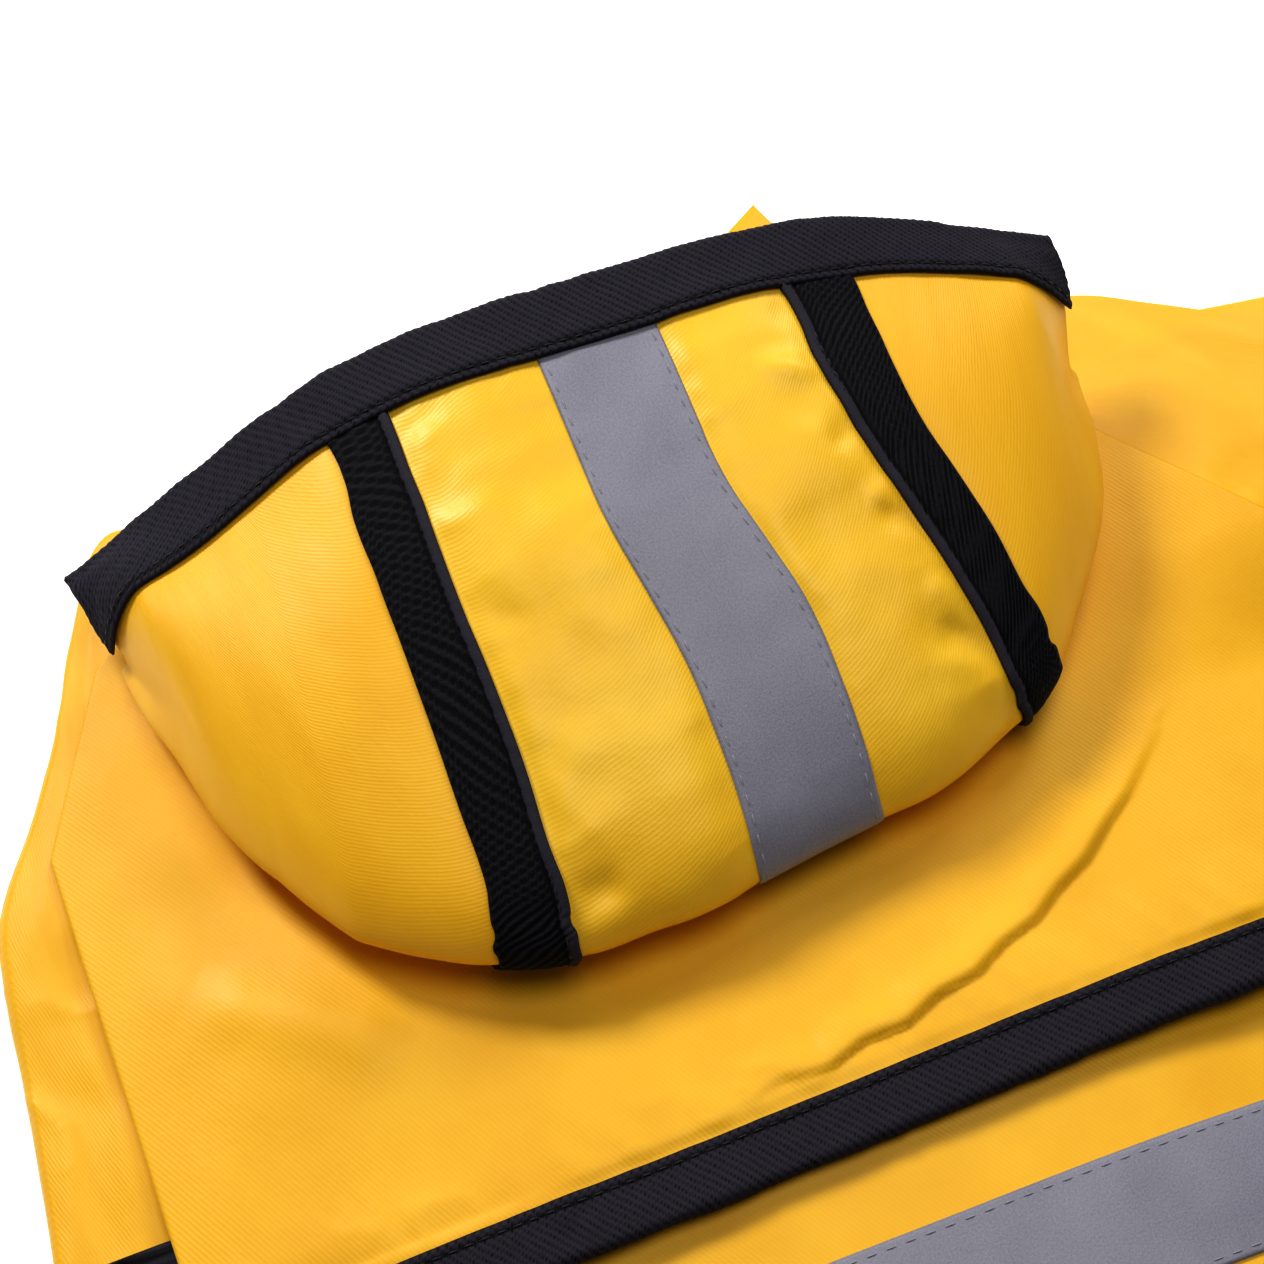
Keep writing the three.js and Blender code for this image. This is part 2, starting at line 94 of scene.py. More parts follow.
# ---- Small mathematics ----
def mix(a, b, t):
    return a + (b - a) * t


def ease(a, b, x):
    """0 where x is at a, 1 where it is at b, with a soft start and stop."""
    t = np.clip((x - a) / (b - a), 0, 1)
    return t * t * (3 - 2 * t)


def unit(v):
    return v / np.maximum(np.linalg.norm(v, axis=-1, keepdims=True), 1e-9)


def spline(points, t):
    """The centripetal Catmull-Rom line through points (..., n, 3), at the shares t (..., k)."""
    p = np.asarray(points, float)
    first = 2 * p[..., :1, :] - p[..., 1:2, :]
    last = 2 * p[..., -1:, :] - p[..., -2:-1, :]
    p = np.concatenate([first, p, last], -2)
    spans = p.shape[-2] - 3
    s = np.clip(t, 0, 1) * spans
    k = np.minimum(s.astype(int), spans - 1)
    w = (s - k)[..., None]
    a, b, c, d = (np.take_along_axis(p, (k + i)[..., None], -2) for i in range(4))
    d0, d1, d2 = (
        np.maximum(np.linalg.norm(q - r, axis=-1, keepdims=True) ** 0.5, 1e-3)
        for q, r in ((b, a), (c, b), (d, c))
    )
    t1 = ((b - a) / d0 - (c - a) / (d0 + d1) + (c - b) / d1) * d1
    t2 = ((c - b) / d1 - (d - b) / (d1 + d2) + (d - c) / d2) * d1
    return b + t1 * w + (3 * (c - b) - 2 * t1 - t2) * w**2 + (2 * (b - c) + t1 + t2) * w**3


def normals(grid, closed=False):
    """Unit normals of a grid (m, n, 3) of points. With closed, its first axis runs round a tube."""
    if closed:
        du = np.roll(grid, -1, 0) - np.roll(grid, 1, 0)
    else:
        du = np.gradient(grid, axis=0)
    return unit(np.cross(du, np.gradient(grid, axis=1)))


def lattice(x, y, size, seed):
    """Smooth noise from -1 to 1, with features of about this size."""
    cells = 97
    table = np.random.default_rng(seed).uniform(-1, 1, (cells, cells))
    i, j = np.floor(x / size).astype(int), np.floor(y / size).astype(int)
    u, v = x / size - i, y / size - j
    u, v = u * u * u * (u * (6 * u - 15) + 10), v * v * v * (v * (6 * v - 15) + 10)

    def at(a, b):
        return table[(i + a) % cells, (j + b) % cells]

    return mix(mix(at(0, 0), at(1, 0), u), mix(at(0, 1), at(1, 1), u), v)


def crumple(x, y, size, seed, turn=0.0, stretch=1.0):
    """Sharp little creases between soft hills, from 0 to 1, drawn out along the direction turn."""
    c, s = math.cos(math.radians(turn)), math.sin(math.radians(turn))
    a, b = (c * x + s * y) / stretch, c * y - s * x
    a = a + 0.5 * size * lattice(x, y, 1.7 * size, seed + 1)
    b = b + 0.5 * size * lattice(x, y, 1.7 * size, seed + 2)
    return 1 - np.abs(lattice(a, b, size, seed)) ** 0.7


def near(x, y, line):
    """The distance of each point from a polyline, positive on its left, and the share along it."""
    line = np.asarray(line, float)
    steps = np.linalg.norm(np.diff(line, axis=0), axis=1)
    reached = np.concatenate([[0], np.cumsum(steps)]) / steps.sum()
    best, side, share = np.full(x.shape, 1e9), np.ones(x.shape), np.zeros(x.shape)
    for i, (a, b) in enumerate(zip(line[:-1], line[1:])):
        d = b - a
        t = np.clip(((x - a[0]) * d[0] + (y - a[1]) * d[1]) / (d @ d), 0, 1)
        away = np.hypot(x - a[0] - t * d[0], y - a[1] - t * d[1])
        closer = away < best
        best = np.where(closer, away, best)
        side = np.where(closer, np.sign(d[0] * (y - a[1]) - d[1] * (x - a[0]) + 1e-12), side)
        share = np.where(closer, mix(reached[i], reached[i + 1], t), share)
    return best * side, share


def folds(x, y, listed):
    """The height of a cloth with these folds: each is a line, a height, and its widths to left and right."""
    height = np.zeros(x.shape)
    for line, rise, left, right in listed:
        away, share = near(x, y, line)
        width = np.where(away > 0, left, right)
        ends = ease(-0.02, 0.25, share) * ease(1.02, 0.75, share)
        height += rise * np.exp(-((away / width) ** 2)) * (0.15 + 0.85 * ends)
    return height


# ---- Meshes ----
def build(name, points, quads, weave, material):
    data = bpy.data.meshes.new(name)
    data.vertices.add(len(points))
    data.vertices.foreach_set("co", (points * MM).astype(np.float32).ravel())
    data.loops.add(quads.size)
    data.loops.foreach_set("vertex_index", quads.astype(np.int32).ravel())
    data.polygons.add(len(quads))
    data.polygons.foreach_set("loop_start", np.arange(0, quads.size, 4, dtype=np.int32))
    data.polygons.foreach_set("use_smooth", np.ones(len(quads), bool))
    data.update(calc_edges=True)
    data.validate()
    if weave is not None:
        attribute = data.attributes.new("weave", "FLOAT_VECTOR", "POINT")
        attribute.data.foreach_set("vector", weave.astype(np.float32).ravel())
    data.materials.append(material)
    piece = bpy.data.objects.new(name, data)
    bpy.context.scene.collection.objects.link(piece)
    return piece


def grid_quads(m, n, closed=False):
    """The faces of a grid of m by n points."""
    rows = np.arange(m if closed else m - 1)
    i, j = np.meshgrid(rows, np.arange(n - 1), indexing="ij")
    i, j, k = i.ravel(), j.ravel(), ((i + 1) % m).ravel()
    return np.stack([i * n + j, k * n + j, k * n + j + 1, i * n + j + 1], 1)


def thicken(name, grid, thick, material, weave=None, relief=0.0, closed=False, quads=None, up=None):
    """A closed sheet of cloth about a grid (m, n, 3), thinner at its border. relief raises its outer face."""
    m, n = grid.shape[:2]
    up = normals(grid, closed) if up is None else up
    quads = grid_quads(m, n, closed) if quads is None else quads
    edges = quads[:, [[0, 1], [1, 2], [2, 3], [3, 0]]].reshape(-1, 2)
    code = np.sort(edges, 1) @ np.array([m * n, 1])
    _, where, times = np.unique(code, return_inverse=True, return_counts=True)
    border = edges[times[where.ravel()] == 1]
    half = np.full(m * n, thick / 2)
    half[border.ravel()] *= 0.45
    flat, up = grid.reshape(-1, 3), up.reshape(-1, 3)
    rise = np.broadcast_to(relief, (m, n)).reshape(-1).copy()
    rise[border.ravel()] = 0
    points = np.concatenate([flat + up * (half + rise)[:, None], flat - up * half[:, None]])
    under = quads[:, ::-1] + m * n
    rim = np.stack([border[:, 1], border[:, 0], border[:, 0] + m * n, border[:, 1] + m * n], 1)
    if weave is not None:
        weave = np.concatenate([weave.reshape(-1, 3)] * 2)
        # The outer face's rise is kept in the weave's z, from which the black tapes paint highlight on their
        # ribs and shade in their hollows.
        weave[: m * n, 2] = rise
    piece = build(name, points, np.concatenate([quads, under, rim]), weave, material)
    piece["flat_mm2"] = float(area(flat, quads))
    return piece


def area(points, quads):
    a, b, c, d = (points[quads[:, i]] for i in range(4))
    return 0.5 * np.linalg.norm(np.cross(c - a, d - b), axis=1).sum()


def threads(name, lines, material, pitch=3.7, length=2.6, radius=0.17):
    """Stitches along lines, which are pairs of points (k, 3) and outward directions (k, 3)."""
    sides, rings = 6, 6
    all_points, all_quads = [], []
    for line, up in lines:
        reached = np.concatenate([[0], np.cumsum(np.linalg.norm(np.diff(line, axis=0), axis=1))])
        starts = np.arange(0.4 * pitch, reached[-1] - length, pitch)
        t = np.linspace(0, 1, rings)
        s = starts[:, None] + t * length
        at = np.stack([np.interp(s, reached, line[:, i]) for i in range(3)], -1)
        out = unit(np.stack([np.interp(s, reached, up[:, i]) for i in range(3)], -1))
        ahead = unit(np.gradient(at, axis=1))
        aside = np.cross(ahead, out)
        bow = np.sqrt(np.clip(1 - (2 * t - 1) ** 2, 0, 1))
        at = at + out * (radius * (1.5 * bow - 0.9))[None, :, None]
        angle = np.arange(sides) * 2 * math.pi / sides
        ring = (radius * (0.25 + 0.75 * bow))[None, :, None, None]
        round_it = np.cos(angle)[:, None] * aside[:, :, None] + np.sin(angle)[:, None] * out[:, :, None]
        points = (at[:, :, None] + ring * round_it).reshape(-1, 3)
        r, a = np.meshgrid(np.arange(rings - 1), np.arange(sides), indexing="ij")
        b = (a + 1) % sides
        corners = [r * sides + a, r * sides + b, (r + 1) * sides + b, (r + 1) * sides + a]
        one = np.stack(corners, -1).reshape(-1, 4)
        end = (rings - 1) * sides
        first_cap = [[3, 2, 1, 0], [5, 4, 3, 0]]
        last_cap = [[end, end + 1, end + 2, end + 3], [end, end + 3, end + 4, end + 5]]
        caps = np.array(first_cap + last_cap)
        one = np.concatenate([one, caps])
        offset = len(np.concatenate(all_points)) if all_points else 0
        every = one[None] + (np.arange(len(starts)) * sides * rings)[:, None, None] + offset
        all_points.append(points)
        all_quads.append(every.reshape(-1, 4))
    return build(name, np.concatenate(all_points), np.concatenate(all_quads), None, material)


def weave_of(along, across, turn=0.0):
    """The weave's own coordinates in millimetres: its ribs run along the first one."""
    c, s = math.cos(math.radians(turn)), math.sin(math.radians(turn))
    return np.stack([c * along + s * across, c * across - s * along, np.zeros(np.shape(along))], -1)


def lengths(grid, axis):
    """How far each point of a grid is from its first row, measured along the cloth."""
    steps = np.linalg.norm(np.diff(grid, axis=axis), axis=-1)
    return np.insert(np.cumsum(steps, axis=axis), 0, 0, axis=axis)


# ---- Materials ----
def linear(c):
    """A colour channel from 0 to 255 as linear light."""
    return c / 255 / 12.92 if c <= 10 else ((c / 255 + 0.055) / 1.055) ** 2.4


def srgb(r, g, b):
    return (linear(r), linear(g), linear(b), 1)


class Look:
    """A material and the nodes that drive it."""

    def __init__(self, name, **sockets):
        self.material = bpy.data.materials.new(name)
        self.material.use_nodes = True
        self.tree = self.material.node_tree
        self.shader = self.tree.nodes["Principled BSDF"]
        for socket, value in sockets.items():
            self.shader.inputs[socket.replace("_", " ")].default_value = value

    def node(self, kind, inputs=(), **settings):
        made = self.tree.nodes.new("ShaderNode" + kind)
        for key, value in settings.items():
            setattr(made, key, value)
        for key, value in dict(inputs).items():
            if isinstance(value, bpy.types.NodeSocket):
                self.tree.links.new(value, made.inputs[key])
            else:
                made.inputs[key].default_value = value
        return made

    def weave(self, across=1.0, along=1.0):
        """The weave's coordinates, scaled."""
        given = self.node("Attribute", attribute_name="weave").outputs["Vector"]
        return self.node("Mapping", {"Vector": given, "Scale": (along, across, 0)}).outputs["Vector"]

    def noise(self, size, detail=2.0, stretch=1.0):
        """Noise from 0 to 1 with features of this size, in millimetres."""
        where = self.weave(1 / size, 1 / size / stretch)
        return self.node("TexNoise", {"Vector": where, "Scale": 1.0, "Detail": detail}).outputs["Fac"]

    def ribs(self, pitch, wobble=0.0):
        """Fine ribs along the weave, from 0 to 1."""
        where = self.weave(1 / pitch, 1 / pitch)
        inputs = {"Vector": where, "Scale": 0.31416, "Distortion": wobble, "Detail": 1.0, "Detail Scale": 3.0}
        return self.node("TexWave", inputs, wave_type="BANDS", bands_direction="Y").outputs["Fac"]

    def sum(self, a, b, share):
        """a plus a share of b."""
        inputs = {0: b, 1: share, 2: a}
        return self.node("Math", inputs, operation="MULTIPLY_ADD").outputs[0]

    def colours(self, fac, *stops):
        ramp = self.node("ValToRGB", {0: fac})
        for i, (at, colour) in enumerate(stops):
            spot = ramp.color_ramp.elements[i] if i < 2 else ramp.color_ramp.elements.new(at)
            spot.position = at
            spot.color = colour
        self.tree.links.new(ramp.outputs["Color"], self.shader.inputs["Base Color"])

    def bump(self, height, depth, strength=1.0):
        """Bumps this deep, in millimetres."""
        inputs = {"Height": height, "Distance": depth * MM, "Strength": strength}
        out = self.node("Bump", inputs).outputs["Normal"]
        self.tree.links.new(out, self.shader.inputs["Normal"])

    def rough(self, fac, low, high):
        inputs = {"Value": fac, "To Min": low, "To Max": high}
        out = self.node("MapRange", inputs).outputs["Result"]
        self.tree.links.new(out, self.shader.inputs["Roughness"])


def yellow_cloth(name, light, deep, roughness):
    look = Look(
        name, Roughness=roughness, Specular_IOR_Level=0.4, Sheen_Weight=0.06, Sheen_Roughness=0.35,
        Sheen_Tint=srgb(255, 226, 150),
    )
    twill = look.ribs(0.8, 0.6)
    patches = look.noise(26, 3)
    both = look.sum(patches, twill, 0.12)
    look.colours(both, (0.3, deep), (0.75, light))
    look.rough(look.noise(9, 3), roughness - 0.05, roughness + 0.08)
    look.bump(look.sum(look.noise(1.6, 3), twill, 0.4), 0.045)
    return look.material


def black_tape(name, roughness=0.8, pitch=None):
    """A woven tape. Its colour is painted lighter on the crests of its ribs, a painted highlight, and darker
    in the hollows between them, a painted shade.
    """
    look = Look(name, Roughness=roughness, Specular_IOR_Level=0.22, Sheen_Weight=0.03, Sheen_Roughness=0.4)
    fuzz = look.noise(0.5, 3)
    given = look.node("Attribute", attribute_name="weave").outputs["Vector"]
    relief = look.node("SeparateXYZ", {0: given}).outputs["Z"]
    rib_painted_highlight_and_shade = look.node("MapRange", {"Value": relief, "From Min": -0.12, "From Max": 0.2}).outputs["Result"]
    # Painted highlight on the rib crests and painted shade in the hollows and stitch grooves, taken from the
    # relief and mixed with a little random fuzz.
    look.colours(look.sum(rib_painted_highlight_and_shade, fuzz, 0.35), (0.25, srgb(8, 8, 10)), (1.0, srgb(58, 55, 64)))
    height = look.sum(look.ribs(pitch, 1.0), fuzz, 0.6) if pitch else fuzz
    look.bump(height, 0.12)
    return look.material


def reflective_tape():
    look = Look("reflective_tape", Specular_IOR_Level=0.5, Sheen_Weight=0.1)
    beads = look.noise(0.42, 4)
    clouds = look.noise(14, 2)
    look.colours(look.sum(beads, clouds, 0.5), (0.45, srgb(124, 122, 134)), (1.0, srgb(150, 149, 160)))
    look.rough(clouds, 0.4, 0.52)
    look.bump(beads, 0.05)
    return look.material


def thread(name, colour):
    look = Look(name, Roughness=0.6, Base_Color=colour, Sheen_Weight=0.2)
    return look.material


YELLOW = yellow_cloth("yellow_cloth", srgb(247, 192, 48), srgb(240, 180, 34), 0.46)
SHINY = yellow_cloth("yellow_cloth_centre", srgb(248, 202, 60), srgb(242, 190, 46), 0.38)
BLACK = black_tape("black_tape")
ELASTIC = black_tape("black_elastic", 0.8, 1.4)
HOOKS = black_tape("hook_tape", 0.6, 0.9)
LOOPS = black_tape("loop_tape", 0.95)
REFLECT = reflective_tape()
GREY_THREAD = thread("grey_thread", srgb(150, 148, 158))
BLACK_THREAD = thread("black_thread", srgb(16, 15, 18))


# ---- Surfaces shared with the frame ----
def body_half(y):
    along = np.clip((TAIL_Y + TAIL_ROUND - y) / TAIL_ROUND, 0, 1)
    return mix(TAIL_HALF, BODY_HALF, np.sqrt(1 - along * along))


def back_z(x, y):
    crest = mix(BACK_HEIGHT, TAIL_HEIGHT, ease(BACK_STRIP_Y, TAIL_Y, y))
    edge = mix(BACK_EDGE, TAIL_EDGE, ease(BELLY_REAR, BELLY_REAR - 25, y))
    return mix(edge, crest, 1 - np.minimum(1, np.abs(x / BODY_HALF)) ** BACK_ARCH)


def cape_z(x, y):
    left = mix(CAPE_EDGE_HIGH, CAPE_EDGE_LOW + 3, ease(CUFF_Y - 3, CAPE_HEM, y))
    right = mix(CAPE_EDGE_HIGH, CAPE_EDGE_LOW, ease(ARM_REAR[1], ARM_REAR[1] - 30, y))
    edge = np.where(x < 0, left, right)
    return mix(edge, CAPE_HEIGHT, 1 - np.minimum(1, np.abs(x / CAPE_HALF)) ** CAPE_ARCH)


def armhole_x(y):
    return mix(ARM_REAR[0], ARM_FRONT[0], (y - ARM_REAR[1]) / (ARM_FRONT[1] - ARM_REAR[1]))


FACE = [[-106, 52, 0.24], [-46, 62, 0.76], [3, 60, 0.9], [49, 58, 0.82], [93, 47, 0.5]]
CROWN = [[-109, 30], [-88, -20], [-54, -50], [-24, -53], [4, -50], [32, -45], [57, -35], [82, -7], [93, 26]]
NECK = [[-86, 43], [-48, 48], [0, 50], [48, 48], [78, 43]]


# Share of the face edge, and how far the cloth's crown has sagged in from the frame's there.
SLACK = [
    [0, 9.5], [0.02, 8.0], [0.04, 6.8], [0.06, 6.2], [0.09, 3.2], [0.13, 2.2], [0.17, -2.2], [0.21, -0.6],
    [0.25, 0], [0.72, 0], [0.76, 0.8], [0.80, 3.6], [0.83, 4.2], [0.875, 4.2], [0.92, 4.2], [0.96, 3.4],
    [1, 3.0],
]
# How far each tape of the hood runs from the frame's straight line, and its width: [y, aside, width].
LEFT_COURSE = [
    [60, 0.5, 11.8], [45, 0.9, 12], [30, 2.2, 13], [12, 3.0, 13.6], [-20, 5.6, 15.2], [-46, 6.6, 15],
    [-54, 4.8, 17],
]
RIGHT_COURSE = [[60, -6, 13.5], [42, -7.6, 14], [15, -9.0, 13], [-9, -5.4, 13.6], [-35, -4.0, 14]]
MIDDLE_COURSE = [[60, -3, 23], [45, -3, 23], [14, -3.4, 23], [-15, 2.0, 25], [-38, 2.0, 25], [-52, 0.6, 25.5]]
COURSES = {SEAM_AT: LEFT_COURSE, 1 - SEAM_AT: RIGHT_COURSE, 0.5: MIDDLE_COURSE}


def course(at, v, column):
    """A hood tape's sideways shift or its width, at the shares v of the way round."""
    y = hood_plain(np.full(np.shape(v), float(at)), v)[..., 1]
    y = np.where(v > 0.5, -55.0, y)
    listed = np.array(COURSES[at])[::-1]
    blur = (-6, -3, 0, 3, 6)
    return sum(np.interp(y + b, listed[:, 0], listed[:, column]) for b in blur) / len(blur)


def girth(at, v):
    """Millimetres across the hood per share of its face edge."""
    a, b = (hood_plain(np.full(np.shape(v), at + d), v) for d in (-0.01, 0.01))
    return np.linalg.norm(b - a, axis=-1) / 0.02


def seam_share(at, v):
    """The share of the face edge where a tape's middle lies, at the shares v of the way round."""
    return at + course(at, v, 1) / girth(at, v)


def seat(x, y):
    return cape_z(x, y) + HOOD_REST


def hood_lines(u):
    """The seven points that the hood's cloth passes through at each share u of its face edge."""
    face = spline([[x, y, float(seat(x, y)) + lift * HOOD_LIFT] for x, y, lift in FACE], u)
    crown = spline([[x, y, 0] for x, y in CROWN], u)
    neck = spline([[x, y, float(seat(x, y))] for x, y in NECK], u)
    crown = crown + unit((neck - crown) * [1, 1, 0]) * np.interp(u, *np.array(SLACK).T)[:, None]
    depth = np.minimum(1, np.hypot(*(face - crown)[:, :2].T) / (6 * HOOD_ROLL))
    roll = HOOD_ROLL * mix(0.6, 1, depth) * mix(0.35, 1, ease(-0.01, 0.07, np.minimum(u, 1 - u)))
    inward = (neck - crown) * [1, 1, 0]
    reach = np.linalg.norm(inward, axis=1)
    inward = unit(inward)

    def seated(along, lift):
        p = crown + inward * along[:, None]
        p[:, 2] = seat(p[:, 0], p[:, 1]) + lift
        return p

    tip = seated(0 * roll, roll)
    low = seated(np.minimum(1.2 * roll, 0.4 * reach), 1.2)
    under = seated(mix(1.2 * roll, reach, 0.5), 1)
    high = seated(0.8 * roll, 2 * roll)
    upper = mix(high, face, 0.5) + np.stack([0 * depth, 0 * depth, HOOD_BULGE * depth], 1)
    return np.stack([face, upper, high, tip, low, under, neck], 1)


def hood_plain(u, v):
    """The hood's cloth: u runs along its face edge, and v from there round the crown to the neck."""
    u, v = np.broadcast_arrays(u, v)
    inside = np.clip(u.ravel(), 0, 1)
    return spline(hood_lines(inside), v.reshape(-1, 1)).reshape(*v.shape, 3)


# Folds of the hood's upper wall, seen from above: line, height, width on its left, width on its right.
CREASES_PER_SEAM = 11
CREASE_SPAN = (0.07, 0.50)  # shares of the way round, from the face edge to the crown
CREASE_LENGTH = (9, 24)
CREASE_RISE = (0.45, 0.9)
CREASE_WIDTH = (1.6, 4.0)


def seam_creases():
    """Creases of the centre panel, which run in from its two seams where the tapes gather its cloth. They
    alternate between ridges and hollows, and lean at random."""
    draw = np.random.default_rng(17)
    creases = []
    for seam, inward in ((SEAM_AT, 1), (1 - SEAM_AT, -1)):
        for k, v in enumerate(np.linspace(*CREASE_SPAN, CREASES_PER_SEAM)):
            start = hood_plain(seam_share(seam, v), v)[..., :2].reshape(2)
            lean, bend = draw.uniform(-0.9, 0.9), draw.uniform(-0.5, 0.5)
            reach = draw.uniform(*CREASE_LENGTH)
            middle = start + 0.5 * reach * np.array([inward * math.cos(lean), math.sin(lean)])
            end = middle + 0.5 * reach * np.array([inward * math.cos(lean + bend), math.sin(lean + bend)])
            rise = draw.uniform(*CREASE_RISE) * (1 if k % 2 else -1)
            creases.append(([start, middle, end], rise, *draw.uniform(*CREASE_WIDTH, 2)))
    return creases


def zigzag(start, middle, end, steps, reach):
    """A bent line of short straight steps, whose jags reach aside at its start and fade towards its end."""
    t = np.linspace(0, 1, steps)[:, None]
    start, middle, end = (np.array(point, float) for point in (start, middle, end))
    line = (1 - t) ** 2 * start + 2 * t * (1 - t) * middle + t**2 * end
    ahead = unit(np.gradient(line, axis=0))
    aside = np.stack([-ahead[:, 1], ahead[:, 0]], 1)
    turns = np.where(np.arange(steps) % 2, 1, -1)[:, None]
    return line + aside * turns * reach * (1 - t)


# The cape's long jagged fold climbs from its hem towards the right shoulder. A broad swell lies on its left.
LONG_FOLD = zigzag((-25, CAPE_HEM + 10), (35, CAPE_HEM + 10), (75, CAPE_HEM + 50), 15, 1.0)
CAPE_FOLDS = [
    (LONG_FOLD, 1.6, 5.0, 0.8),
    ([(-110, -30), (-75, -55)], 1.5, 7, 7),
]


SEAM_CREASES = seam_creases()


def hood_shape(u, v):
    """The hood with its folds: the points and their outward normals."""
    u, v = np.broadcast_arrays(u, v)
    plain = hood_plain(u, v)
    ahead = hood_plain(u + 0.002, v) - hood_plain(u - 0.002, v)
    up = unit(np.cross(ahead, hood_plain(u, v - 0.004) - hood_plain(u, v + 0.004)))
    side = np.linalg.norm(ahead, axis=-1) / 0.004
    away = np.full(v.shape, 1e3)
    for at in COURSES:
        away = np.minimum(away, np.abs(u - seam_share(at, v)) * side - course(at, v, 2) / 2)
    x, y = plain[..., 0], plain[..., 1]
    above = ease(0.56, 0.47, v) * ease(0.0, 0.06, v)
    centre = (u > seam_share(SEAM_AT, v)) & (u < seam_share(1 - SEAM_AT, v))
    free = ease(-2, 4, away)
    gathered = np.exp(-np.maximum(away, 0) / 6)
    fine = gathered * (crumple(x, y, 6, 11, 15, 1.8) - 0.4)
    broad = 0.75 * lattice(x, y, 15, 12) + 0.35 * lattice(x, y, 7.5, 13)
    busy = folds(x, y, SEAM_CREASES) + broad + 0.5 * fine
    calm = 0.8 * lattice(x, y, 36, 5) + 0.12 * lattice(x, y, 13, 6)
    height = above * (np.where(centre, busy, calm) * mix(0.2, 1, free) + 0.3 * lattice(x, y, 24, 9))
    # The cloth swells a little between its tapes.
    height += above * 0.9 * (1 - np.exp(-np.maximum(away, 0) / 4))
    return plain + up * height[..., None], up


def hem_sag(x, y):
    """How far the cloth has slid rearwards near the hem, which hangs lower on the left."""
    return -mix(5.2, 1.5, ease(-60, 110, x)) * ease(-45, CAPE_HEM, y)


def cape_shape(x, y):
    """The cape's points with its folds, for the frame's places x and y."""
    low = y + hem_sag(x, y)
    inside = ease(CAPE_HALF, CAPE_HALF - 18, np.abs(x))
    shown = ease(40, 10, y) * inside * ease(CAPE_HEM + 10, CAPE_HEM + 12, y)
    soft = 0.8 * lattice(x, low, 44, 21) + 0.35 * lattice(x, low, 17, 22)
    hem = ease(CAPE_HEM + 26, CAPE_HEM + 14, y) * ease(CAPE_HEM + 9, CAPE_HEM + 12, y)
    puckers = 0.45 * crumple(x + 0.4 * low, 0.35 * low, 5.0, 31) * hem
    z = cape_z(x, y) + shown * (folds(x, low, CAPE_FOLDS) + soft) + inside * puckers
    return np.stack([x, low, z], -1)


# ---- Pieces ----
def finish_piece(piece, replaced, body=None):
    if replaced:
        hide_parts(*replaced)
    if body:
        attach(piece, body)
    else:
        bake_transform(piece)
    return piece


def hood_panel(name, node, start, end, columns, material, turn):
    """A panel of the hood between two of its seams, or its ends."""
    v = np.concatenate([np.linspace(1, 0.56, 34), np.linspace(0.55, 0, 150)])
    gap = 0.0006
    borders = []
    for at, sign in ((start, 1), (end, -1)):
        borders.append(at + 0 * v if at in (0, 1) else seam_share(at, v) + sign * gap)
    u = mix(borders[0], borders[1], np.linspace(0, 1, columns)[:, None])
    grid, up = hood_shape(u, np.broadcast_to(v, u.shape))
    weave = weave_of(lengths(grid, 0), lengths(grid, 1), turn)
    piece = thicken(name, grid, CLOTH, material, weave, up=up)
    return finish_piece(piece, [node])


def rib_relief(along, across, pitch=1.65, height=0.3, slope=0.85):
    """Slanting ribs of a woven tape."""
    phase = (along + slope * across + 0.25 * lattice(along, across, 5, 41)) / pitch
    wave = np.abs(np.cos(math.pi * phase))
    return height * (wave**0.8 - 0.4)


def ledge(across, at, width=0.45, depth=0.22):
    """The groove that a row of stitches pulls into a tape."""
    return -depth * np.exp(-(((across - at) / width) ** 2))


def folded_tape(name, on, columns, leg, material, wrap=WRAP, slope=0.85, stitch_at=1.9):
    """A ribbed tape folded round the edge of a cloth. on(share, depth) gives the cloth's middle, a distance
    in from its edge, for shares (m,) and depths (k,). Returns the tape and the line of its upper stitches."""
    share = np.linspace(0, 1, columns)
    leg_rows = int(leg / 0.55)
    depth = np.linspace(leg, 0, leg_rows)
    cloth, lining = on(share, depth), on(share, depth, True)
    up, down = normals(cloth), -normals(lining)
    inward = unit(cloth[:, -2] - cloth[:, -1])
    turn = np.linspace(0, math.pi, 9)[1:-1]
    edge, lift = cloth[:, -1:], up[:, -1:]
    turned = edge - inward[:, None] * (wrap * np.sin(turn))[:, None] + lift * (wrap * np.cos(turn))[:, None]
    grid = np.concatenate([cloth + up * wrap, turned, (lining + down * wrap)[:, ::-1]], 1)
    along = lengths(grid, 0)
    along = np.repeat(along[:, leg_rows : leg_rows + 1], grid.shape[1], 1)
    across = lengths(grid, 1)
    total = across[:, -1:]
    outward = normals(grid)
    wobble = 0.22 * lattice(along, across, 9, 51) + 0.16 * lattice(along, across, 3.5, 52)
    grooves = ledge(across, stitch_at) + ledge(total - across, stitch_at)
    relief = rib_relief(along, across, slope=slope) + grooves
    grid = grid + outward * wobble[..., None]
    piece = thicken(name, grid, RIBBON, material, weave_of(along, across), relief)
    row = int(np.argmin(np.abs(across[columns // 2] - stitch_at)))
    line = grid[:, row] + outward[:, row] * (RIBBON / 2 - 0.1)
    return piece, (line, outward[:, row])


def hood_edge(share, depth, under=False):
    """The hood's cloth at these distances in from its face edge. Its underside has less room at the ends."""
    if under:
        v = face_share(share[:, None], depth[None, :])
    else:
        steps = np.linspace(0, 0.5, 80)
        rows = hood_plain(share[:, None], steps[None, :])
        reached = lengths(rows, 1)
        wide = 1 + 0.3 * ease(0.24, 0.08, share)
        v = np.stack([np.interp(depth * w, r, steps) for r, w in zip(reached, wide)])
    return hood_shape(share[:, None] + 0 * v, v)[0]


def face_share(u, depth):
    """The share of the way round at this distance from the face edge, held back where the wall is short."""
    most = 0.09
    step = np.linalg.norm(hood_plain(u, 0.05) - hood_plain(u, 0.0), axis=-1)
    return most * np.tanh(0.05 * depth / step / most)


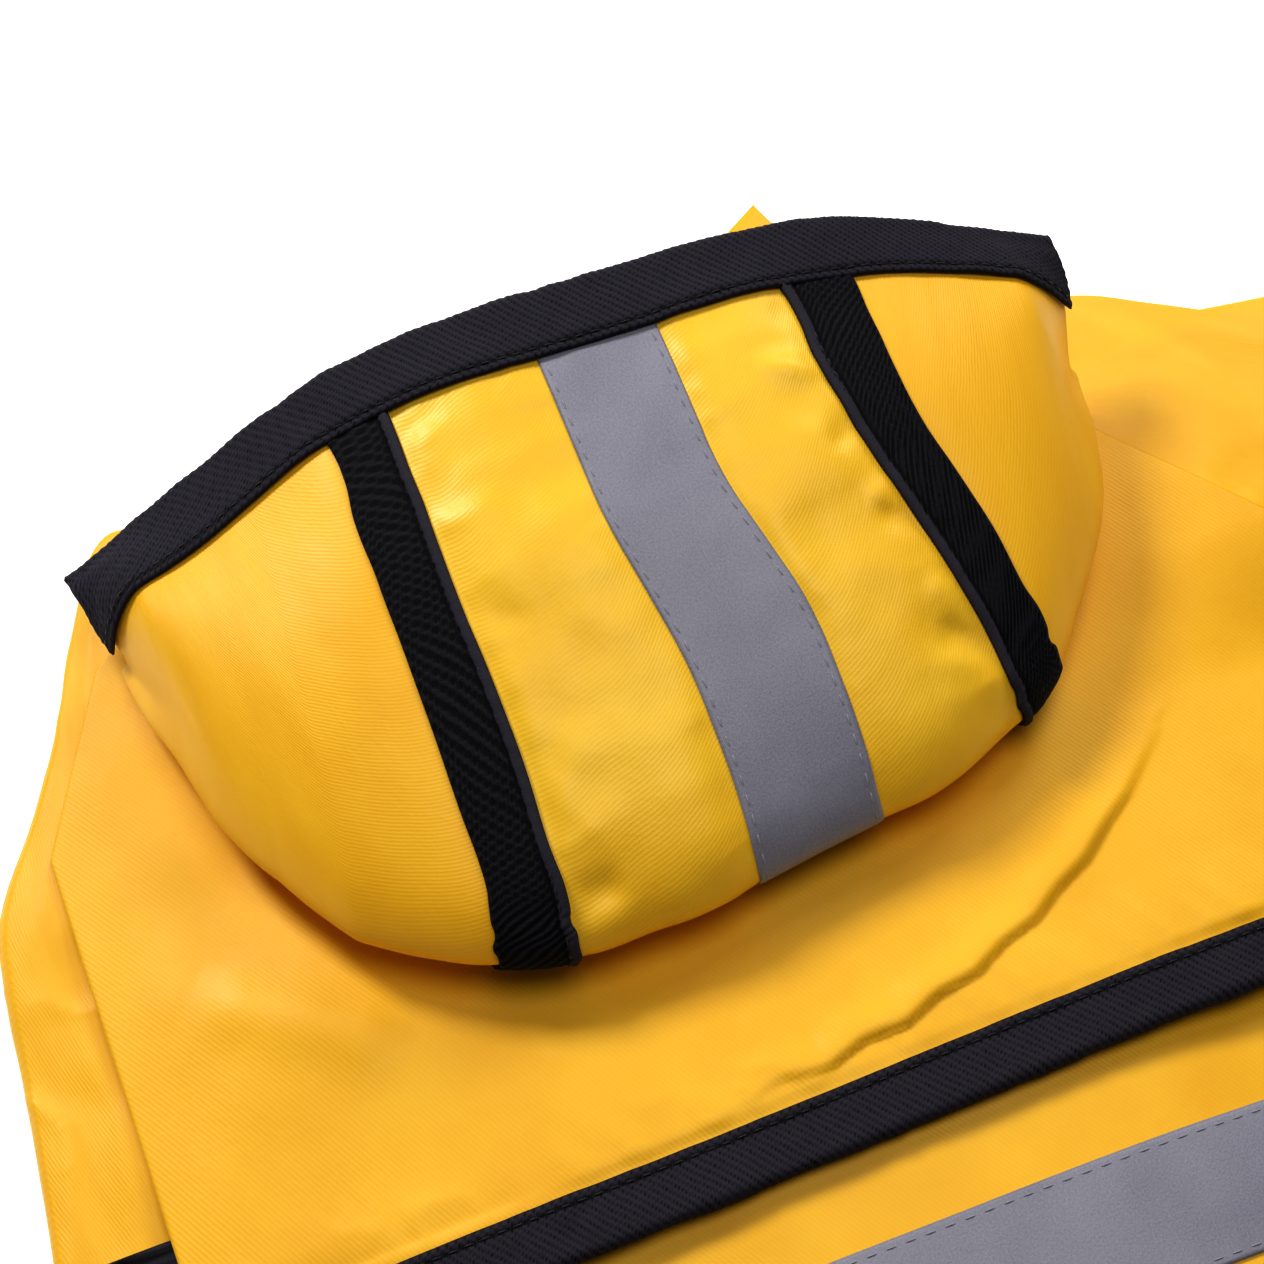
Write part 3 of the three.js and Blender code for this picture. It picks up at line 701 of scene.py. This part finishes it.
def hood_tape(name, at, thick, material, columns, rows, relief=None, sway=0.0, stitch_in=1.3):
    """A tape sewn on the outside of the hood. Returns it and the lines of its two rows of stitches."""
    start = float(face_share(at, BINDING - 1.5))
    v = mix(0.92, start, np.linspace(0, 1, rows))[None, :]
    reach = np.linspace(-0.5, 0.5, columns)[:, None]
    width = course(at, v, 2)
    ragged = sway * np.abs(2 * reach) ** 3 * lattice(v * 60 + 20 * np.sign(reach), 0 * v, 2.3, 61)
    u = seam_share(at, v) + (reach * width + ragged) / girth(at, v)
    grid, up = hood_shape(u, v + 0 * u)
    grid = grid + up * (CLOTH / 2 + thick / 2 + 0.05)
    along, across = lengths(grid, 1), lengths(grid, 0)
    rise = 0.0 if relief is None else relief(along, across, across[-1:])
    piece = thicken(name, grid, thick, material, weave_of(along, across), rise, up=up)
    lines = []
    for inset in (stitch_in, float(width.mean()) - stitch_in):
        k = int(round(inset / float(width.mean()) * (columns - 1)))
        top = int(rows * 0.12)
        lines.append((grid[k, top:] + up[k, top:] * (thick / 2 - 0.03), up[k, top:]))
    return piece, lines


def make_hood():
    hood_panel("hood_left_cloth", "hood_left_panel", 0, SEAM_AT, 84, YELLOW, 38)
    hood_panel("hood_centre_cloth", "hood_centre_panel", SEAM_AT, 1 - SEAM_AT, 150, SHINY, 24)
    hood_panel("hood_right_cloth", "hood_right_panel", 1 - SEAM_AT, 1, 84, YELLOW, -30)
    binding, stitch_line = folded_tape("hood_face_tape", hood_edge, 540, BINDING + 0.6, BLACK, wrap=1.3)
    finish_piece(binding, ["hood_face_binding"])
    sewing = [stitch_line]

    def seam_relief(side):
        def relief(along, across, width):
            turned = across if side < 0 else width - across
            step = 0.35 * ease(1.7, 2.5, turned)
            return rib_relief(along, across, slope=-0.9) + ledge(turned, 2.1) - 0.1 * (step > 0) - step + 0.3

        return relief

    for side, at in (("left", SEAM_AT), ("right", 1 - SEAM_AT)):
        relief = seam_relief(1 if side == "left" else -1)
        tape, lines = hood_tape(f"hood_{side}_seam_tape", at, RIBBON, BLACK, 24, 300, relief, 0.5, 1.9)
        finish_piece(tape, [f"hood_{side}_seam_binding"])
        sewing.append(lines[1] if side == "left" else lines[0])
    strip, lines = hood_tape("hood_strip", 0.5, SILVER, REFLECT, 36, 180)
    finish_piece(strip, ["hood_reflective_strip"])
    stitches = threads("hood_strip_stitches", lines, GREY_THREAD)
    finish_piece(stitches, [])
    seams = threads("hood_tape_stitches", sewing, BLACK_THREAD, pitch=3.0, length=2.2, radius=0.2)
    finish_piece(seams, [])


def cape_left(y):
    rise = mix(-CAPE_HALF, -CAPE_HALF + 19, (y - 6) / 34)
    neck = mix(-CAPE_HALF + 19, -ARM_FRONT[0] - 20, (y - 40) / 14)
    return np.where(y < 6, -CAPE_HALF, np.where(y < 40, rise, neck))


def cape_right(y):
    seam = armhole_x(y) - GAP - 0.5 * TAPE
    start = armhole_x(ARM_REAR[1]) - GAP - 0.5 * TAPE
    flared = np.minimum(CAPE_HALF, mix(start, CAPE_HALF, (ARM_REAR[1] - y) / 20))
    return np.where(y > ARM_REAR[1], seam, flared)


def make_cape():
    v = np.linspace(0, 1, 190)
    y = mix(CAPE_HEM + 0.3, CAPE_FRONT, v)
    spread = np.linspace(-1, 1, 260)
    spread = (mix(spread, np.sin(spread * math.pi / 2), 0.35) + 1) / 2
    x = mix(cape_left(y)[None, :], cape_right(y)[None, :], spread[:, None])
    y = np.broadcast_to(y, x.shape)
    cape = thicken("cape_cloth", cape_shape(x, y), CLOTH, YELLOW, weave_of(x, y, -58))
    finish_piece(cape, ["cape_yoke", "cape_flap"])

    def hem_edge(share, depth, under=False):
        x, deep = np.meshgrid(mix(CAPE_HALF, -CAPE_HALF, share), depth, indexing="ij")
        return cape_shape(x, CAPE_HEM + deep)

    hem, stitch_line = folded_tape("cape_hem_tape", hem_edge, 600, BINDING - 2.6, BLACK, wrap=1.3)
    finish_piece(hem, ["cape_hem_binding"], body="cape_hem")
    seams = threads("cape_hem_stitches", [stitch_line], BLACK_THREAD, pitch=3.0, length=2.2, radius=0.2)
    finish_piece(seams, [], body="cape_hem")
    x, v = np.meshgrid(np.linspace(-1, 1, 90) * (ARM_FRONT[0] - 6), np.linspace(0, 1, 10), indexing="ij")
    neck = spline([[x, y, 0] for x, y in NECK], np.linspace(0, 1, 90))
    y = neck[:, 1:2] - 4 + v * 7
    grid = np.stack([x, y, cape_z(x, y) + WRAP], -1)
    tape = thicken("neck_tape", grid, 0.8, BLACK, weave_of(x, y), rib_relief(x, y, height=0.12))
    finish_piece(tape, ["neck_seam_tape"], body="coat")


# ---- Back panel, harness port, tapes and tail ----
def back_inset(y):
    return np.where(y > ARM_REAR[1] - 2, np.minimum(body_half(y), armhole_x(y) - LAYER), body_half(y))


def back_shape(x, y):
    shown = ease(BODY_HALF, BODY_HALF - 20, np.abs(x)) * ease(TAIL_Y, TAIL_Y + 25, y)
    return back_z(x, y) + shown * (0.7 * lattice(x, y, 40, 71) + 0.3 * lattice(x, y, 15, 72))


def slot_half(x, half_width, half_length):
    """Half the height of a slot with round ends, at x."""
    past = np.maximum(0, np.abs(x) - (half_length - half_width))
    return np.sqrt(np.maximum(0, half_width**2 - past**2))


def make_back():
    rear = np.linspace(TAIL_Y + 0.3, PORT_Y, 130)
    front = np.linspace(PORT_Y, NECK_Y, 80)
    y = np.concatenate([rear, front])
    side = np.concatenate([-np.ones(len(rear)), np.ones(len(front))])
    across = np.linspace(-1, 1, 171)
    inset = back_inset(y)
    x = across[:, None] * inset[None, :]
    away = np.abs(y - PORT_Y)
    opening = slot_half(x, PORT_SLOT / 2, PORT_WIDTH / 2) * np.exp(-((away / 9) ** 2))[None, :]
    y = y[None, :] + side[None, :] * opening
    grid = np.stack([x, y, back_shape(x, y)], -1)
    m, n = x.shape
    quads = grid_quads(m, n)
    # The two middle rows are one row, except along the slit.
    seam = len(rear) - 1
    row = quads[:, 0] % n
    quads = quads[row != seam]
    shut = np.flatnonzero(slot_half(x[:, seam], PORT_SLOT / 2, PORT_WIDTH / 2) < 1e-6)
    same = np.arange(m * n)
    same[shut * n + seam + 1] = shut * n + seam
    quads = same[quads]
    weave = weave_of(x, y, -58).reshape(-1, 3)
    used, quads = np.unique(quads, return_inverse=True)
    quads = quads.reshape(-1, 4)
    up = normals(grid).reshape(-1, 3)[used]
    points = grid.reshape(-1, 3)[used][None]
    back = thicken("back_cloth", points, CLOTH, YELLOW, weave[used][None], quads=quads, up=up[None])
    finish_piece(back, ["back_panel"], body="coat")

    angle = np.linspace(0, 2 * math.pi, 120, endpoint=False)
    out = np.linspace(0, PORT_RIM, 12)
    straight = (PORT_WIDTH - PORT_SLOT) / 2
    radius = PORT_SLOT / 2 + out[None, :]
    along = np.clip(1.35 * np.cos(angle) * straight, -straight, straight)
    x = along[:, None] + radius * np.cos(angle)[:, None]
    y = PORT_Y + radius * np.sin(angle)[:, None]
    grid = np.stack([x, y, back_shape(x, y) + CLOTH / 2 + 0.55], -1)
    weave = weave_of(np.broadcast_to(angle[:, None] * 14, x.shape), np.broadcast_to(out, x.shape))
    relief = rib_relief(weave[..., 0], weave[..., 1], height=0.12) - 0.2 * np.exp(-((out - 3.9) / 0.4) ** 2)
    rim = thicken("port_rim", grid[::-1], 0.8, BLACK, weave[::-1], relief[::-1], closed=True)
    finish_piece(rim, ["harness_port_rim"], body="coat")

    share = np.linspace(-1, 1, 200)
    y = np.linspace(BACK_STRIP_Y - STRIP, BACK_STRIP_Y, 34)
    x, y = np.meshgrid(share * (BODY_HALF - LAYER), y, indexing="ij")
    grid = np.stack([x, y, back_shape(x, y) + CLOTH / 2 + SILVER / 2 + 0.25], -1)
    strip = thicken("back_strip", grid, SILVER, REFLECT, weave_of(x, y))
    finish_piece(strip, ["back_reflective_strip"], body="coat")
    up = normals(grid)
    rows = [2, 31]
    lines = [(grid[:, k] + up[:, k] * (SILVER / 2 - 0.03), up[:, k]) for k in rows]
    finish_piece(threads("back_strip_stitches", lines, GREY_THREAD), [], body="coat")


def rear_edge(share):
    """The rear edge's outline and its direction, from the left side round the tail to the right side."""
    side = BELLY_REAR - 2 - (TAIL_Y + TAIL_ROUND)
    turn = np.linspace(0, math.pi / 2, 60)
    corner_x = BODY_HALF - (BODY_HALF - TAIL_HALF) * (1 - np.cos(turn))
    corner = np.stack([corner_x, -TAIL_ROUND * np.sin(turn)], 1)
    right = np.concatenate([[[BODY_HALF, side]], corner]) + [0, TAIL_Y + TAIL_ROUND]
    outline = np.concatenate([right * [-1, 1], right[::-1]])
    reached = np.concatenate([[0], np.cumsum(np.linalg.norm(np.diff(outline, axis=0), axis=1))])
    at = np.stack([np.interp(share * reached[-1], reached, outline[:, i]) for i in range(2)], 1)
    ahead = unit(np.gradient(at, axis=0))
    return at, ahead


def make_tail():
    def edge(share, depth, under=False):
        at, ahead = rear_edge(1 - share)
        ahead = -ahead
        x = at[:, :1] - ahead[:, 1:] * depth
        y = at[:, 1:] + ahead[:, :1] * depth
        return np.stack([x, y, back_z(x, y)], -1)

    tape, stitch_line = folded_tape("tail_tape", edge, 620, BINDING, ELASTIC, wrap=1.35, slope=0.0)
    finish_piece(tape, ["tail_binding"], body="coat")
    seams = threads("tail_stitches", [stitch_line], BLACK_THREAD, pitch=3.0, length=2.2, radius=0.2)
    finish_piece(seams, [], body="coat")
    for side, name in ((-1, "left"), (1, "right")):
        route = [
            [side * (BODY_HALF - 26), BELLY_REAR - 26, 0],
            [side * (BODY_HALF + 4), BELLY_REAR - 33, 0],
            [side * (BODY_HALF + LOOP_REACH), BELLY_REAR - 58, 0],
            [side * (BODY_HALF + 4), BELLY_REAR - 82, 0],
            [side * (BODY_HALF - 36), BELLY_REAR - 82, 0],
        ]
        line = spline(route, np.linspace(0, 1, 150))
        ahead = unit(np.gradient(line, axis=0))
        aside = np.stack([ahead[:, 1], -ahead[:, 0], 0 * ahead[:, 0]], 1)
        across = np.linspace(0.5, -0.5, 14) * LOOP_WIDTH
        grid = line[:, None] + aside[:, None] * across[:, None]
        inside = body_half(grid[..., 1]) - BINDING - np.abs(grid[..., 0])
        grid[..., 2] = mix(TAPE / 2, back_z(grid[..., 0], grid[..., 1]) - WRAP - GAP / 2, ease(2, 9, inside))
        weave = weave_of(lengths(grid, 0), np.broadcast_to(across, grid.shape[:2]))
        relief = rib_relief(weave[..., 0], weave[..., 1], pitch=1.5, height=0.16, slope=0.0)
        loop = thicken(f"{name}_leg_elastic", grid, 0.8, ELASTIC, weave, relief)
        finish_piece(loop, [f"{name}_leg_loop"], body="coat")


# ---- Belly ----
# Share of the panel's width, and how far its front edge reaches past the neck there.
THROAT = [[0, 0], [0.45, 26], [0.75, 45.5], [0.875, 53], [0.9375, 37], [1, 0]]


def belly_outer(y):
    return np.minimum(BODY_HALF - GAP, armhole_x(y) - LAYER)


def make_belly():
    u, v = np.meshgrid(np.linspace(0, 1, 60), np.linspace(0, 1, 110), indexing="ij")
    y = mix(BELLY_REAR, NECK_Y, v)
    x = mix(-belly_outer(y), BELLY_LAP, u)
    grid = np.stack([x, y, 0 * x + BELLY_LOW], -1)
    left = thicken("left_belly_cloth", grid, CLOTH, YELLOW, weave_of(x, y, 58))
    finish_piece(left, ["left_belly_panel"])
    u, v = np.meshgrid(np.linspace(0, 1, 81), np.linspace(0, 1, 150), indexing="ij")
    y = mix(BELLY_REAR, NECK_Y + np.interp(u, *np.array(THROAT).T), v)
    x = mix(-BELLY_LAP, belly_outer(np.minimum(y, NECK_Y)), u)
    z = mix(BELLY_HIGH, BELLY_LOW, ease(BELLY_LAP + 6, BELLY_LAP + 42, x))
    right = thicken("right_belly_cloth", np.stack([x, y, z], -1), CLOTH, YELLOW, weave_of(x, y, -58))
    finish_piece(right, ["right_belly_panel"])
    for name, node, z, look, slot, body in (
        ("belly_loops", "belly_loop_tape", LOOP_Z, LOOPS, "loop_tape", "left_belly"),
        ("belly_hooks", "belly_hook_tape", HOOK_Z, HOOKS, "hook_tape", "right_belly"),
    ):
        x, y = np.meshgrid(
            np.linspace(-0.5, 0.5, 40) * CLOSURE_WIDTH,
            np.linspace(BELLY_REAR + CLOSURE_END, NECK_Y - CLOSURE_END, 200), indexing="ij",
        )
        fuzz = 0.12 * lattice(x, y, 1.3, 81)
        tape = thicken(name, np.stack([x, y, 0 * x + z], -1), TAPE - 0.3, look, weave_of(x, y), fuzz)
        finish_piece(tape, [node], body=body)


# ---- Sleeves ----
def flattened(near_line, far_line, rise_from, rise_to, lift, angle, v):
    """The middle of a flattened tube's cloth between two side lines, for angles (m,) and shares v (n,)."""
    a, b = near_line[None], far_line[None]
    rise = mix(rise_from, rise_to, v)[None, :, None]
    across = a - b
    half = np.linalg.norm(across, axis=-1, keepdims=True) / 2
    c, s = np.cos(angle)[:, None, None], np.sin(angle)[:, None, None]
    flat = np.clip(1.6 * c, -1, 1)
    grid = (a + b) / 2 + unit(across) * ((half - rise) * flat + rise * c)
    grid[..., 2] += (rise * (1 + s))[..., 0] + LAYER / 2 + GAP / 2 + (v * lift)[None, :]
    return grid


def straight(x0, y0, x1, y1, v):
    return np.stack([mix(x0, x1, v), mix(y0, y1, v), 0 * v], -1)


def make_sleeve(name, cap, leg, wrinkle):
    """One tube of cloth from the armhole to the cuff, which stays in place, and its cuff tape, which is
    attached to the leg.
    """
    angle = np.linspace(0, 2 * math.pi, 110, endpoint=False)
    cap_v, leg_v = np.linspace(0, 1, 60), np.linspace(0, 1, 90)
    upper, lower = cap(angle, cap_v), leg(angle, leg_v)
    grid = np.concatenate([upper, lower], 1)
    up = normals(grid, closed=True)
    centre = grid.mean(0, keepdims=True)
    if ((grid - centre) * up).sum() < 0:
        grid, up = grid[::-1], -normals(grid, closed=True)[::-1]
    x, y = grid[..., 0], grid[..., 1]
    top = ease(-0.2, 0.5, up[..., 2])
    grid = grid + up * (wrinkle(x, y) * top)[..., None]
    around = lengths(grid, 0)
    weave = weave_of(lengths(grid, 1), around, 32)
    cloth = thicken(f"{name}_sleeve_cloth", grid, CLOTH, YELLOW, weave, closed=True)
    nodes = [f"{name}_sleeve_cap", f"{name}_sleeve"]
    finish_piece(cloth, nodes)
    cuff_v = np.linspace(1 - BINDING / SLEEVE_LENGTH, 1.004, 30)
    grid = leg(angle, cuff_v)
    up = normals(grid, closed=True)
    if ((grid - grid.mean(0, keepdims=True)) * up).sum() < 0:
        grid, up = grid[::-1], -normals(grid, closed=True)[::-1]
    along, around = lengths(grid, 1), lengths(grid, 0)
    grid = grid + up * 1.35
    relief = rib_relief(around, along, pitch=1.5, slope=0.0) + ledge(along, 1.9)
    cuff = thicken(f"{name}_cuff_tape", grid, RIBBON, ELASTIC, weave_of(around, along), relief, closed=True)
    finish_piece(cuff, [f"{name}_cuff_binding"], body=f"{name}_leg")


LONGER_LEFT_SLEEVE = 6  # past the frame's cuff


def make_sleeves():
    inner = -BODY_HALF - 3
    outer = inner - 36
    end_y = CUFF_Y - LONGER_LEFT_SLEEVE
    front = [
        [-ARM_FRONT[0], ARM_FRONT[1] + 2, 0],
        [-ARM_FRONT[0] - 17, ARM_FRONT[1] + 20, 0],
        [-ARM_FRONT[0] - 28, ARM_FRONT[1] + 25, 0],
        [-ARM_FRONT[0] - 42, ARM_FRONT[1] + 4, 0],
        [-ARM_FRONT[0] - 51, ARM_FRONT[1] - 17, 0],
        [outer + 3, LEFT_ROOT_Y + 14, 0],
        [outer, LEFT_ROOT_Y, 0],
    ]

    def left_cap(angle, v):
        rear = straight(-ARM_REAR[0], ARM_REAR[1], inner, LEFT_ROOT_Y, v)
        return flattened(rear, spline(front, v), CAP_RISE - 0.4, SLEEVE_RISE, 0, angle, v)

    def left_leg(angle, v):
        a = straight(inner, LEFT_ROOT_Y - SPLIT, inner - 5, end_y, v)
        b = straight(outer, LEFT_ROOT_Y - SPLIT, outer - 7, end_y, v)
        return flattened(a, b, SLEEVE_RISE, CUFF_RISE, CUFF_LIFT, angle, v)

    def left_wrinkle(x, y):
        return 1.1 * crumple(x, y, 9, 91, 80, 3.0) - 0.6 + 0.5 * lattice(x, y, 18, 92)

    def right_cap(angle, v):
        front = [[*ARM_FRONT, 0], [88, 54, 0], [105, 53.5, 0], [RIGHT_ROOT, ARM_FRONT[1] - 6.5, 0]]
        a = spline(front, v)
        b = straight(*ARM_REAR, RIGHT_ROOT, ARM_REAR[1] - 4, v)
        return flattened(a, b, CAP_RISE + 0.6, SLEEVE_RISE, 0, angle, v)

    def right_leg(angle, v):
        end_x = RIGHT_ROOT + SLEEVE_LENGTH
        a = straight(RIGHT_ROOT + SPLIT, ARM_FRONT[1] - 7, end_x, ARM_FRONT[1] - 18, v)
        b = straight(RIGHT_ROOT + SPLIT, ARM_REAR[1] - 4, end_x, ARM_REAR[1] - 2, v)
        return flattened(a, b, SLEEVE_RISE, CUFF_RISE, CUFF_LIFT, angle, v)

    def right_wrinkle(x, y):
        return 0.5 * lattice(x, y, 16, 93) + 0.7 * crumple(x, y, 12, 94, 10, 2.5) - 0.4

    make_sleeve("left", left_cap, left_leg, left_wrinkle)
    make_sleeve("right", right_cap, right_leg, right_wrinkle)


make_hood()
make_cape()
make_back()
make_tail()
make_belly()
make_sleeves()


# ---- Floor, light and camera ----
def make_stage():
    bpy.ops.mesh.primitive_plane_add(size=8, location=(0, 0, -0.0003))
    floor = bpy.context.object
    floor.name = "floor"
    glow = {"Emission_Color": (1, 1, 1, 1), "Emission_Strength": 0.3}
    pale = (0.96, 0.96, 0.96, 1)
    look = Look("floor_paper", Roughness=0.9, Base_Color=pale, Specular_IOR_Level=0.1, **glow)
    floor.data.materials.append(look.material)
    world = bpy.data.worlds.new("studio")
    bpy.context.scene.world = world
    world.use_nodes = True
    world.node_tree.nodes["Background"].inputs["Color"].default_value = (1, 1, 1, 1)
    world.node_tree.nodes["Background"].inputs["Strength"].default_value = 0.08
    for name, place, size, power in (
        ("key", (-0.42, 0.85, 0.95), 0.35, 8.6),
        ("second", (0.75, 0.75, 0.9), 0.6, 4.6),
        ("top", (0.15, -0.1, 1.4), 0.8, 4.7),
    ):
        light = bpy.data.lights.new(name, "AREA")
        light.shape = "DISK"
        light.size = size
        light.energy = power
        lamp = bpy.data.objects.new(name, light)
        bpy.context.scene.collection.objects.link(lamp)
        lamp.location = place
        lamp.rotation_euler = (-Vector(place)).to_track_quat("-Z", "Y").to_euler()


def make_camera():
    azimuth, elevation, roll = (math.radians(a) for a in (-18.4, 62.0, 2.9))
    target = Vector((-12, 0, 35)) * MM
    distance = 0.56
    back = Vector((
        math.sin(azimuth) * math.cos(elevation), -math.cos(azimuth) * math.cos(elevation), math.sin(elevation)
    ))
    level = Vector((math.cos(azimuth), math.sin(azimuth), 0))
    upright = back.cross(level)
    right = level * math.cos(roll) - upright * math.sin(roll)
    up = level * math.sin(roll) + upright * math.cos(roll)
    data = bpy.data.cameras.new("camera")
    data.sensor_width = 36
    data.lens = 86.76
    data.clip_start = 0.01
    camera = bpy.data.objects.new("camera", data)
    bpy.context.scene.collection.objects.link(camera)
    place = target + back * distance
    camera.matrix_world = Matrix((
        (right.x, up.x, back.x, place.x), (right.y, up.y, back.y, place.y), (right.z, up.z, back.z, place.z),
        (0, 0, 0, 1),
    ))
    bpy.context.scene.camera = camera


make_stage()
make_camera()
bpy.context.scene.view_settings.view_transform = "Standard"
bpy.context.scene.view_settings.look = "High Contrast"
